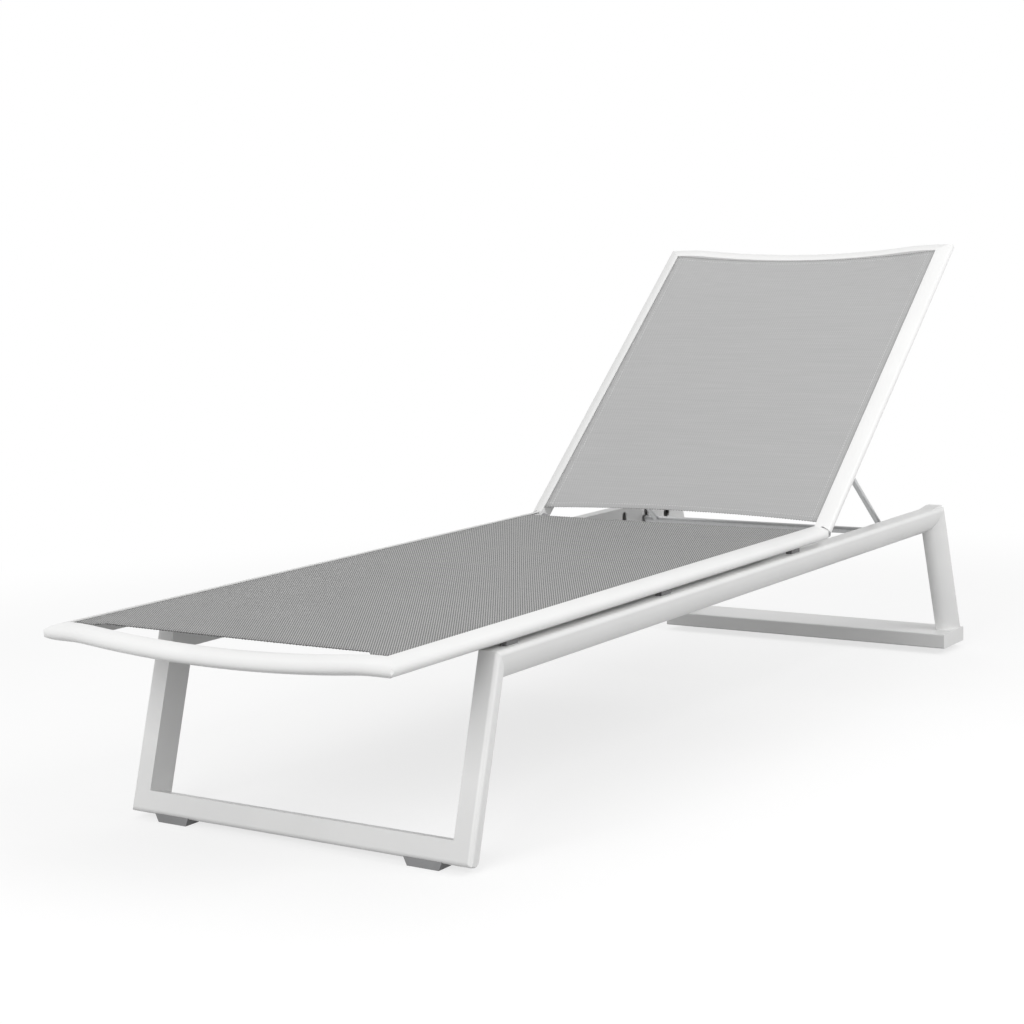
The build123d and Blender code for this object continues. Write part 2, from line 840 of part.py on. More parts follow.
def bail_cap():
    """The rounded plug in the right-hand end of the crossbar."""
    with BuildPart() as cap:
        with BuildSketch(Plane(origin=(bail_tube_end, 0, -bail_length), x_dir=(0, 1, 0), z_dir=(1, 0, 0))):
            Circle(bail_bar_radius)
        extrude(amount=bail_cap_length)
        fillet(cap.edges().sort_by(Axis.X)[-1], bail_cap_edge)
        with BuildSketch(Plane(origin=(bail_tube_end, 0, -bail_length), x_dir=(0, 1, 0), z_dir=(1, 0, 0))):
            Circle(bail_bar_radius - bail_bar_wall)
        extrude(amount=-bail_plug_length)
    return cap.part


def bail_pin():
    """A right-hand shouldered pin that leaves the backrest rail and carries the bail's eye."""
    head_x = eye_inner_x - bail_side_play
    shank = along_x(bail_pin_radius, head_x, rail_x + bail_pin_reach)
    sleeve = along_x(bail_sleeve_radius, eye_outer_x + bail_side_play, rail_x)
    head = along_x(bail_pin_head_radius, head_x - bail_pin_head, head_x)
    with BuildPart() as pin:
        add(shank)
        add(sleeve)
        add(head)
        fillet(pin.edges().sort_by(Axis.X)[0], bail_pin_head / 2)
    return pin.part


# Spacers and bolts between the seat rails and the base rails, drawn with the hinge at the origin

spacer_x = rail_x + spacer_inset + spacer_width / 2
base_top_z = base_height - hinge_z


def spacers():
    """The six blocks that carry the seat rails on the base rails."""
    with BuildPart() as blocks:
        for side in (-1, 1):
            with Locations([(side * spacer_x, y - seat_length, base_top_z) for y in spacer_ys]):
                Box(
                    spacer_width,
                    spacer_length,
                    rail_half_height,
                    align=(Align.CENTER, Align.CENTER, Align.MIN),
                )
        with BuildSketch(Plane.XZ):
            add(rail_outside)
            add(rail_outside.mirror(Plane.YZ))
        extrude(amount=seat_length, mode=Mode.SUBTRACT)
        for side in (-1, 1):
            with Locations([(side * spacer_x, y - seat_length, base_top_z) for y in spacer_ys]):
                Cylinder(frame_bolt_radius + frame_bolt_fit, rail_height, mode=Mode.SUBTRACT)
    return blocks.part


def frame_bolts():
    """The six bolts that pass from the base rails through the spacers into the seat rails."""
    head_top = base_top_z - tube_wall
    length = rail_half_height - hinge_z + base_height
    with BuildPart() as bolts:
        for side in (-1, 1):
            with Locations([(side * spacer_x, y - seat_length, head_top) for y in spacer_ys]):
                Cylinder(
                    frame_bolt_head_radius,
                    frame_bolt_head_height,
                    align=(Align.CENTER, Align.CENTER, Align.MAX),
                )
                Cylinder(
                    frame_bolt_radius,
                    frame_bolt_reach - head_top - rail_half_height,
                    align=(Align.CENTER, Align.CENTER, Align.MIN),
                )
    return bolts.part


def seat_rail():
    """The seat's right-hand rail, with the outer tongue and the holes for the frame bolts."""
    blank = side_rail(seat_length, True)
    with BuildPart() as rail:
        add(blank)
        with Locations([(spacer_x, y - seat_length, -rail_half_height) for y in spacer_ys]):
            Cylinder(frame_bolt_radius + frame_bolt_fit, rail_half_height, mode=Mode.SUBTRACT)
    return rail.part


def back_rail():
    """The backrest's right-hand rail, with the inner tongue and the hole for the bail's pin."""
    blank = side_rail(back_length, False)
    with BuildPart() as rail:
        add(blank)
        with Locations((rail_x, -bail_pivot_y, 0)):
            Cylinder(
                bail_pin_radius + bail_pin_fit,
                2 * bail_pin_reach,
                rotation=(0, 90, 0),
                mode=Mode.SUBTRACT,
            )
    return rail.part


def both_sides(piece):
    """A right-hand fastener together with its left-hand twin."""
    return Part([piece, piece.mirror(Plane.YZ)])


def write_base():
    """Writes the base frame and its pads."""
    front_bar = with_stud_holes(front_bar_blank(True), front_pad_middle)
    rear_bar = with_stud_holes(rear_bar_blank(True), rear_pad_middle)
    write_pair(base_rail(), "base_rail")
    write_pair(move_to_front(front_leg()), "front_leg")
    write_pair(move_to_rear(rear_leg()), "rear_leg")
    write(move_to_front(front_bar), "front_crossbar")
    write(move_to_rear(rear_bar), "rear_crossbar")
    write(move_to_rear(both_sides(rear_bar_cap())), "rear_bar_caps")
    write_pair(move_to_front(foot_pad(front_bar_blank(False), front_pad_middle)), "front_pad")
    write_pair(move_to_rear(foot_pad(rear_bar_blank(False), rear_pad_middle)), "rear_pad")


def write_seat():
    """Writes the seat frame, its sling and what fastens it."""
    write_pair(place_on_seat(seat_rail()), "seat_rail")
    write(place_on_seat(end_bar(seat_length, foot_bar_sag)), "foot_bar")
    write(place_on_seat(spreader(seat_length - front_spreader_y)), "seat_spreader_front")
    write(place_on_seat(spreader(seat_length - rear_spreader_y)), "seat_spreader_rear")
    write(place_on_seat(seat_sling()), "seat_sling")
    write_pair(place_on_seat(spline_cord(seat_sling_near, seat_sling_far)), "seat_spline")
    write(place_on_seat(spacers()), "seat_spacers")
    write(place_on_seat(frame_bolts()), "frame_bolts")
    write(place_on_seat(both_sides(hinge_bolt())), "hinge_bolts")
    ring_x = split_x - hinge_washer / 2
    write(place_on_seat(both_sides(hinge_ring(ring_x, hinge_washer))), "hinge_washers")
    inner_ring = hinge_ring(nut_face_x, hinge_inner_washer)
    write(place_on_seat(both_sides(inner_ring)), "hinge_nut_washers")
    write(place_on_seat(both_sides(hinge_nut())), "hinge_nuts")


def write_back():
    """Writes the backrest frame and its sling."""
    write_pair(place_on_back(back_rail()), "back_rail")
    write(place_on_back(end_bar(back_length, top_bar_sag)), "top_bar")
    write(place_on_back(spreader(lower_spreader_y)), "back_spreader_lower")
    write(place_on_back(spreader(upper_spreader_y)), "back_spreader_upper")
    write(place_on_back(back_sling()), "back_sling")
    write_pair(place_on_back(spline_cord(back_sling_near, back_sling_far)), "back_spline")


def write_bail():
    """Writes the bail and the pins that carry it."""
    write_pair(place_on_bail(bail_leg()), "bail_leg")
    write(place_on_bail(bail_crossbar()), "bail_crossbar")
    write(place_on_bail(both_sides(bail_cap())), "bail_caps")
    write(place_on_bail(both_sides(bail_pin())), "bail_pins")


os.makedirs("parts", exist_ok=True)
write_base()
write_seat()
write_back()
write_bail()
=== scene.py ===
"""A sun lounger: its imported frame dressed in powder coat, with two woven slings and their stitching.

X is the width, +Y points to the head end and +Z points up. Lengths are in metres, angles in
degrees.
"""

from dataclasses import dataclass, field
from enum import Enum
import json
import logging
import math
from typing import Callable

import bpy
from mathutils import Matrix, Vector

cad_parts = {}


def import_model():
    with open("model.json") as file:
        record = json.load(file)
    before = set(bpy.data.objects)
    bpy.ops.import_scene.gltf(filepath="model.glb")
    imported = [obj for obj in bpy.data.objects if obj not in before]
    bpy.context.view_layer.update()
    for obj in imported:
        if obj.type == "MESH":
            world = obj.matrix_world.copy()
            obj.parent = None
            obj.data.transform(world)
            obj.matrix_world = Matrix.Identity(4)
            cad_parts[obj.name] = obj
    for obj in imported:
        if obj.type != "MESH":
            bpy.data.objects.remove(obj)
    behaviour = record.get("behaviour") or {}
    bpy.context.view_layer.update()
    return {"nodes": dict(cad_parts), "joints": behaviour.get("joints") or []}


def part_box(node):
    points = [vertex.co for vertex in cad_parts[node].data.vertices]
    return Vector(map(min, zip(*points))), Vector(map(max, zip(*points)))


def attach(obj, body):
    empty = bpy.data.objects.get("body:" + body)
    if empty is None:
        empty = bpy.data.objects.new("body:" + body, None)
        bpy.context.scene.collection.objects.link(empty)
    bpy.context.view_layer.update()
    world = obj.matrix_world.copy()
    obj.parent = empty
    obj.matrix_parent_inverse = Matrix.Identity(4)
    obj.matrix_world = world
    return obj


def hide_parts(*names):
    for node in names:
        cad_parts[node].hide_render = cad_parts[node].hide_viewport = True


LOG = logging.getLogger("sun_lounger")
Colour = tuple[float, float, float]
Point = tuple[float, float, float]
Socket = bpy.types.NodeSocket
WHITE = (1.0, 1.0, 1.0, 1.0)


class Side(Enum):
    """A side of the lounger, seen from the foot end."""

    LEFT = -1
    RIGHT = 1


class Yarn(Enum):
    """The two cloths, woven of one yarn: the seat's darker tone is partly painted shade and the
    backrest's lighter tone partly painted light.
    """

    SEAT = "seat"
    BACK = "back"


class MixSocket(Enum):
    """The numbers of the colour sockets on Blender's mix node."""

    LOW = 6
    HIGH = 7
    RESULT = 2


# Finishes


class Shader:
    """A material's node tree, with short ways to add nodes and to join them."""

    def __init__(self, name: str, roughness: float, colour: Colour) -> None:
        """Starts a material with one surface shader.

        Args:
            name: Name of the material.
            roughness: Roughness of the whole surface.
            colour: Plain colour, which a node may replace later.
        """
        self.material = bpy.data.materials.new(name)
        self.material.use_nodes = True
        self.material.diffuse_color = (*colour, 1.0)
        self.tree = self.material.node_tree
        self.surface = self.tree.nodes["Principled BSDF"]
        self.surface.inputs["Base Color"].default_value = (*colour, 1.0)
        self.surface.inputs["Roughness"].default_value = roughness

    def set(self, **values: float) -> None:
        """Sets plain values on the surface shader, with _ for a space in a socket's name."""
        for name, value in values.items():
            self.surface.inputs[name.replace("_", " ")].default_value = value

    def node(self, kind: str, **settings: object) -> bpy.types.Node:
        """Adds a node.

        Args:
            kind: Blender's name of the node type.
            settings: Properties of the node.

        Returns:
            The new node.
        """
        node = self.tree.nodes.new(kind)
        for name, value in settings.items():
            setattr(node, name, value)
        return node

    def join(self, output: Socket, node: bpy.types.Node, name: str | int) -> None:
        """Joins an output to a node's input, given by its name or number."""
        self.tree.links.new(output, node.inputs[name])

    def colour_from(self, output: Socket) -> None:
        """Takes the surface colour from an output."""
        self.join(output, self.surface, "Base Color")

    def place(self) -> Socket:
        """Returns the point on the piece in its own metres."""
        return self.node("ShaderNodeTexCoord").outputs["Object"]

    def stretched(self, scale: Point) -> Socket:
        """Stretches the pattern's coordinates.

        Args:
            scale: The scale of each axis.

        Returns:
            The scaled point on the piece.
        """
        mapping = self.node("ShaderNodeMapping")
        mapping.inputs["Scale"].default_value = scale
        self.join(self.place(), mapping, "Vector")
        return mapping.outputs["Vector"]

    def cloud(self, scale: float, detail: float = 3.0, at: Socket | None = None) -> Socket:
        """Adds smooth noise.

        Args:
            scale: Lumps to the metre.
            detail: Octaves of finer lumps.
            at: Where the noise is read, or None for the point on the piece.

        Returns:
            The noise, from 0 to 1.
        """
        noise = self.node("ShaderNodeTexNoise")
        noise.inputs["Scale"].default_value = scale
        noise.inputs["Detail"].default_value = detail
        self.join(self.place() if at is None else at, noise, "Vector")
        return noise.outputs["Fac"]

    def spread(
        self, value: Socket, low: float, high: float, start: float = 0.3, end: float = 0.7
    ) -> Socket:
        """Maps a value onto another range, smoothly and held at both ends.

        Args:
            value: The value to map.
            low: The result at the start.
            high: The result at the end.
            start: The value where the range starts.
            end: The value where the range ends.

        Returns:
            The mapped value.
        """
        mapped = self.node("ShaderNodeMapRange", interpolation_type="SMOOTHSTEP")
        ranges = {"From Min": start, "From Max": end, "To Min": low, "To Max": high}
        for name, number in ranges.items():
            mapped.inputs[name].default_value = number
        self.join(value, mapped, "Value")
        return mapped.outputs["Result"]

    def math(self, operation: str, first: Socket | float, second: Socket | float = 0.0) -> Socket:
        """Adds one step of arithmetic.

        Args:
            operation: Blender's name of the step.
            first: The first socket or plain number.
            second: The second one, where the step has two.

        Returns:
            The result.
        """
        step = self.node("ShaderNodeMath", operation=operation)
        for number, value in enumerate((first, second)):
            if isinstance(value, Socket):
                self.join(value, step, number)
            else:
                step.inputs[number].default_value = value
        return step.outputs[0]

    def blend(self, factor: Socket, low: Colour, high: Colour) -> Socket:
        """Mixes two colours.

        Args:
            factor: How far the mix goes, from 0 to 1.
            low: The colour at 0.
            high: The colour at 1.

        Returns:
            The mixed colour.
        """
        mix = self.node("ShaderNodeMix", data_type="RGBA")
        mix.inputs[MixSocket.LOW.value].default_value = (*low, 1.0)
        mix.inputs[MixSocket.HIGH.value].default_value = (*high, 1.0)
        self.join(factor, mix, 0)
        return mix.outputs[MixSocket.RESULT.value]

    def mottled(self, value: Socket, colour: Colour, shade: float) -> None:
        """Runs the surface colour from a darker share of itself up to its full tone."""
        low = tuple(channel * shade for channel in colour)
        self.colour_from(self.blend(self.spread(value, 0.0, 1.0), low, colour))

    def uneven_gloss(self, value: Socket, roughness: float, less: float, more: float) -> None:
        """Runs the surface's roughness from less than its own to more with a value."""
        rough = self.spread(value, roughness - less, roughness + more)
        self.join(rough, self.surface, "Roughness")

    def relief(self, height: Socket, depth: float, strength: float) -> None:
        """Raises the surface in fine relief.

        Args:
            height: The height, from 0 to 1.
            depth: The height of the relief in metres.
            strength: How much of it shows.
        """
        bump = self.node("ShaderNodeBump")
        bump.inputs["Distance"].default_value = depth
        bump.inputs["Strength"].default_value = strength
        self.join(height, bump, "Height")
        self.join(bump.outputs["Normal"], self.surface, "Normal")

    def emission(self, strength: float = 1.0) -> Socket:
        """Adds a plain white glow.

        Args:
            strength: Its strength, where 1 is white.

        Returns:
            The glow.
        """
        glow = self.node("ShaderNodeEmission")
        glow.inputs["Strength"].default_value = strength
        return glow.outputs[0]


@dataclass(frozen=True)
class PowderCoat:
    """Baked powder paint: a satin film with fine orange peel and the faintest clouding."""

    name: str = "frame_powder_coat"
    colour: Colour = (0.82, 0.82, 0.815)
    roughness: float = 0.38
    gloss: float = 0.45
    film: float = 0.12
    film_roughness: float = 0.22
    clouding: float = 9.0
    cloud_shade: float = 0.975
    satin_grain: float = 240.0
    less_rough: float = 0.05
    more_rough: float = 0.06
    peel: float = 620.0
    peel_depth: float = 0.00003
    peel_strength: float = 0.35

    def material(self) -> bpy.types.Material:
        """Makes the paint.

        Returns:
            The paint as a material.
        """
        shader = Shader(self.name, self.roughness, self.colour)
        shader.set(
            Coat_Weight=self.film,
            Coat_Roughness=self.film_roughness,
            Specular_IOR_Level=self.gloss,
        )
        shader.mottled(shader.cloud(self.clouding), self.colour, self.cloud_shade)
        satin = shader.cloud(self.satin_grain, 2.0)
        shader.uneven_gloss(satin, self.roughness, self.less_rough, self.more_rough)
        shader.relief(shader.cloud(self.peel, 2.0), self.peel_depth, self.peel_strength)
        return shader.material


@dataclass(frozen=True)
class DrawnMetal:
    """Metal with fine lines along one axis, from drawing a rod or turning a fastener."""

    name: str
    colour: Colour
    roughness: float
    metallic: float = 1.0
    lines: Point = (900.0, 900.0, 14.0)
    line_shade: float = 0.86
    uneven: float = 0.08
    depth: float = 0.00002
    strength: float = 0.3

    def material(self) -> bpy.types.Material:
        """Makes the metal.

        Returns:
            The metal as a material.
        """
        shader = Shader(self.name, self.roughness, self.colour)
        shader.set(Metallic=self.metallic)
        drawn = shader.cloud(1.0, 4.0, shader.stretched(self.lines))
        shader.mottled(drawn, self.colour, self.line_shade)
        shader.uneven_gloss(drawn, self.roughness, self.uneven, self.uneven)
        shader.relief(drawn, self.depth, self.strength)
        return shader.material


@dataclass(frozen=True)
class MouldedPlastic:
    """Matt moulded plastic with a spark-eroded grain."""

    name: str
    colour: Colour
    roughness: float = 0.6
    patches: float = 30.0
    patch_shade: float = 0.88
    uneven: float = 0.08
    grain: float = 1400.0
    depth: float = 0.00006
    strength: float = 0.5

    def material(self) -> bpy.types.Material:
        """Makes the plastic.

        Returns:
            The plastic as a material.
        """
        shader = Shader(self.name, self.roughness, self.colour)
        shader.mottled(shader.cloud(self.patches), self.colour, self.patch_shade)
        grain = shader.cloud(self.grain, 2.0)
        shader.uneven_gloss(grain, self.roughness, self.uneven, self.uneven)
        shader.relief(grain, self.depth, self.strength)
        return shader.material


@dataclass(frozen=True)
class WovenMesh:
    """Coated yarn in a plain weave, read from the cloth's own flat coordinates.

    Warp and weft take turns on top, so light warp crowns stand in a chequer of darker weft.
    """

    yarn: Yarn
    warp: Colour
    weft: Colour
    across: float = 0.00206
    along: float = 0.00305
    hollow: float = -0.25
    crown: float = 0.5
    depth: float = 0.0004
    strength: float = 0.6
    streak: float = 0.10
    streak_lines: Point = (9.0, 420.0, 420.0)
    roughness: float = 0.62
    sheen: float = 0.15
    sheen_roughness: float = 0.5

    def crossings(self, shader: Shader) -> Socket:
        """Adds the weave's two waves, one for each direction of yarn.

        Args:
            shader: The cloth's material.

        Returns:
            1 where a warp yarn is on top, -1 where a weft yarn is, and 0 in the holes.
        """
        cloth = shader.node("ShaderNodeUVMap", uv_map="cloth").outputs["UV"]
        parts = shader.node("ShaderNodeSeparateXYZ")
        shader.join(cloth, parts, 0)
        waves = [
            shader.math("SINE", shader.math("MULTIPLY", parts.outputs[axis], math.pi / pitch))
            for axis, pitch in enumerate((self.across, self.along))
        ]
        return shader.math("MULTIPLY", waves[0], waves[1])

    def material(self) -> bpy.types.Material:
        """Makes the woven cloth.

        Returns:
            The cloth as a material.
        """
        shader = Shader(f"{self.yarn.value}_weave", self.roughness, self.warp)
        shader.set(Sheen_Weight=self.sheen, Sheen_Roughness=self.sheen_roughness)
        crossings = self.crossings(shader)
        on_top = shader.spread(crossings, 0.0, 1.0, self.hollow, self.crown)
        woven = shader.blend(on_top, self.weft, self.warp)
        streaks = shader.cloud(1.0, 3.0, shader.stretched(self.streak_lines))
        shade = shader.spread(streaks, 1.0 - self.streak, 1.0 + self.streak, 0.25, 0.75)
        toned = shader.node("ShaderNodeVectorMath", operation="SCALE")
        shader.join(woven, toned, 0)
        shader.join(shade, toned, "Scale")
        shader.colour_from(toned.outputs[0])
        shader.relief(shader.math("ABSOLUTE", crossings), self.depth, self.strength)
        return shader.material


@dataclass(frozen=True)
class SewingThread:
    """Twisted polyester thread."""

    name: str
    colour: Colour
    roughness: float = 0.5
    sheen: float = 0.2
    sheen_roughness: float = 0.4
    twist: float = 1500.0
    twist_shade: float = 0.75
    depth: float = 0.0001
    strength: float = 0.5

    def material(self) -> bpy.types.Material:
        """Makes the thread.

        Returns:
            The thread as a material.
        """
        shader = Shader(self.name, self.roughness, self.colour)
        shader.set(Sheen_Weight=self.sheen, Sheen_Roughness=self.sheen_roughness)
        twist = shader.cloud(self.twist, 2.0)
        shader.mottled(twist, self.colour, self.twist_shade)
        shader.relief(twist, self.depth, self.strength)
        return shader.material


@dataclass
class Finishes:
    """Every finish of the lounger, made once and shared by its sub-assemblies."""

    paint: PowderCoat = PowderCoat()
    rod: DrawnMetal = DrawnMetal("stay_satin_metal", (0.66, 0.665, 0.67), 0.42, metallic=0.5)
    steel: DrawnMetal = DrawnMetal(
        "fastener_stainless", (0.46, 0.46, 0.47), 0.33, lines=(14.0, 900.0, 900.0)
    )
    pad: MouldedPlastic = MouldedPlastic("pad_grey_plastic", (0.30, 0.30, 0.305))
    # The spacers' dark grey is partly their own plastic and partly painted shade, toned to blend into
    # the shadowed gap under the seat rails.
    spacer: MouldedPlastic = MouldedPlastic("spacer_plastic_toned_as_gap_shade", (0.17, 0.17, 0.172))
    cord: MouldedPlastic = MouldedPlastic("cord_clear_plastic", (0.62, 0.62, 0.62), 0.45)
    # One yarn: the seat's darker colours are partly painted shade and the back's lighter ones partly
    # painted light, besides the seat's own dark weft chequer.
    seat: WovenMesh = WovenMesh(Yarn.SEAT, (0.44, 0.44, 0.435), (0.022, 0.022, 0.022))
    back: WovenMesh = WovenMesh(
        Yarn.BACK, (0.495, 0.495, 0.495), (0.385, 0.385, 0.385), streak=0.04
    )
    seat_thread: SewingThread = SewingThread("seat_thread", (0.26, 0.26, 0.26))
    back_thread: SewingThread = SewingThread("back_thread", (0.80, 0.80, 0.80))
    seat_edge: SewingThread = SewingThread("seat_edge_yarn", (0.05, 0.05, 0.05))
    back_edge: SewingThread = SewingThread("back_edge_yarn", (0.34, 0.34, 0.34))
    made: dict[str, bpy.types.Material] = field(default_factory=dict)

    def get(self, name: str) -> bpy.types.Material:
        """Looks a finish up, and makes it the first time that it is asked for.

        Args:
            name: The finish's field.

        Returns:
            Its material.
        """
        if name not in self.made:
            self.made[name] = getattr(self, name).material()
        return self.made[name]


def dress(
    nodes: dict[str, bpy.types.Object], names: list[str], material: bpy.types.Material
) -> None:
    """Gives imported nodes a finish.

    Args:
        nodes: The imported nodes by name.
        names: The nodes to dress.
        material: Their finish.
    """
    for name in names:
        node = nodes[name]
        if not node.material_slots:
            node.data.materials.append(material)
        for slot in node.material_slots:
            slot.material = material
        LOG.info("dressed %s in %s", name, material.name)


def pair(name: str) -> list[str]:
    """Returns the names of a node and its twin."""
    return [f"{name}_{side.name.lower()}" for side in Side]


# Geometry


@dataclass(frozen=True)
class PanelPlane:
    """The plane of a seat or backrest frame, with its origin on the hinge axis."""

    hinge: Vector
    along: Vector
    out: Vector

    def at(self, x: float, distance: float, height: float) -> Vector:
        """Returns the point at x, a distance from the hinge and a height out of the plane."""
        return Vector((x, 0, 0)) + self.hinge + self.along * distance + self.out * height


@dataclass
class Stitching:
    """A Geometry Nodes tree that lays stitches end to end along edges."""

    pitch: float = 0.0062
    length: float = 0.0042
    thread: float = 0.0009
    seed: int = 7
    segments: int = 6
    rings: int = 4
    smallest: Point = (0.85, 0.85, 0.93)
    largest: Point = (1.15, 1.15, 1.05)

    def tree(self) -> bpy.types.NodeTree:
        """Builds the tree, with its inputs named for their sizes.

        Returns:
            The tree, which turns loose edges into stitches.
        """
        tree = bpy.data.node_groups.new("stitch_run", "GeometryNodeTree")
        tree.is_modifier = True
        sockets = tree.interface
        sockets.new_socket("Geometry", in_out="INPUT", socket_type="NodeSocketGeometry")
        for name in ("Pitch", "Length", "Thread"):
            sockets.new_socket(name, in_out="INPUT", socket_type="NodeSocketFloat")
        sockets.new_socket("Seed", in_out="INPUT", socket_type="NodeSocketInt")
        sockets.new_socket("Finish", in_out="INPUT", socket_type="NodeSocketMaterial")
        sockets.new_socket("Geometry", in_out="OUTPUT", socket_type="NodeSocketGeometry")
        add, join = tree.nodes.new, tree.links.new
        given = add("NodeGroupInput").outputs
        curve = add("GeometryNodeMeshToCurve")
        points = add("GeometryNodeCurveToPoints")
        points.mode = "LENGTH"
        ball = add("GeometryNodeMeshUVSphere")
        ball.inputs["Segments"].default_value = self.segments
        ball.inputs["Rings"].default_value = self.rings
        ball.inputs["Radius"].default_value = 0.5
        shape = add("ShaderNodeCombineXYZ")
        stretch = add("GeometryNodeTransform")
        turn = add("FunctionNodeAlignRotationToVector")
        turn.axis = "Z"
        vary = add("FunctionNodeRandomValue")
        vary.data_type = "FLOAT_VECTOR"
        vary.inputs[0].default_value = self.smallest
        vary.inputs[1].default_value = self.largest
        smooth = add("GeometryNodeSetShadeSmooth")
        place = add("GeometryNodeInstanceOnPoints")
        real = add("GeometryNodeRealizeInstances")
        finish = add("GeometryNodeSetMaterial")
        result = add("NodeGroupOutput")
        join(given["Geometry"], curve.inputs[0])
        join(curve.outputs[0], points.inputs["Curve"])
        join(given["Pitch"], points.inputs["Length"])
        for axis in "XY":
            join(given["Thread"], shape.inputs[axis])
        join(given["Length"], shape.inputs["Z"])
        join(ball.outputs["Mesh"], smooth.inputs["Geometry"])
        join(smooth.outputs["Geometry"], stretch.inputs["Geometry"])
        join(shape.outputs["Vector"], stretch.inputs["Scale"])
        join(points.outputs["Tangent"], turn.inputs["Vector"])
        join(given["Seed"], vary.inputs["Seed"])
        join(points.outputs["Points"], place.inputs["Points"])
        join(stretch.outputs["Geometry"], place.inputs["Instance"])
        join(turn.outputs["Rotation"], place.inputs["Rotation"])
        join(vary.outputs[0], place.inputs["Scale"])
        join(place.outputs["Instances"], real.inputs["Geometry"])
        join(real.outputs["Geometry"], finish.inputs["Geometry"])
        join(given["Finish"], finish.inputs["Material"])
        join(finish.outputs["Geometry"], result.inputs[0])
        return tree

    def sew(
        self, name: str, runs: list[list[Vector]], material: bpy.types.Material
    ) -> bpy.types.Object:
        """Lays stitches along some runs of points.

        Args:
            name: Name of the piece.
            runs: Each a line of points on the cloth.
            material: Finish of the thread.

        Returns:
            One plain mesh piece with all the stitches.
        """
        points = [point for run in runs for point in run]
        edges, first = [], 0
        for run in runs:
            edges += [(first + step, first + step + 1) for step in range(len(run) - 1)]
            first += len(run)
        guide = mesh_object(f"{name}_guide", points, [], edges)
        modifier = guide.modifiers.new("stitches", "NODES")
        modifier.node_group = self.tree()
        values = {
            "Pitch": self.pitch,
            "Length": self.length,
            "Thread": self.thread,
            "Seed": self.seed,
            "Finish": material,
        }
        for socket in modifier.node_group.interface.items_tree:
            if socket.in_out == "INPUT" and socket.name in values:
                modifier[socket.identifier] = values[socket.name]
        depsgraph = bpy.context.evaluated_depsgraph_get()
        mesh = bpy.data.meshes.new_from_object(guide.evaluated_get(depsgraph))
        mesh.name = name
        bpy.data.objects.remove(guide)
        piece = bpy.data.objects.new(name, mesh)
        bpy.context.scene.collection.objects.link(piece)
        LOG.info("sewed %s: %d faces", name, len(mesh.polygons))
        return piece


def mesh_object(
    name: str,
    points: list[Vector],
    faces: list[tuple[int, ...]],
    edges: list[tuple[int, int]] | None = None,
) -> bpy.types.Object:
    """Makes a mesh piece that stands at the origin.

    Args:
        name: Name of the piece.
        points: Its vertices in the part's frame.
        faces: Its faces by vertex number.
        edges: Loose edges by vertex number.

    Returns:
        The new piece, in the scene.
    """
    mesh = bpy.data.meshes.new(name)
    mesh.from_pydata([tuple(point) for point in points], edges or [], faces)
    mesh.update()
    piece = bpy.data.objects.new(name, mesh)
    bpy.context.scene.collection.objects.link(piece)
    return piece


def steps(start: float, end: float, count: int) -> list[float]:
    """Returns evenly spaced numbers from start to end, both included."""
    return [start + (end - start) * step / count for step in range(count + 1)]


# Sub-assemblies


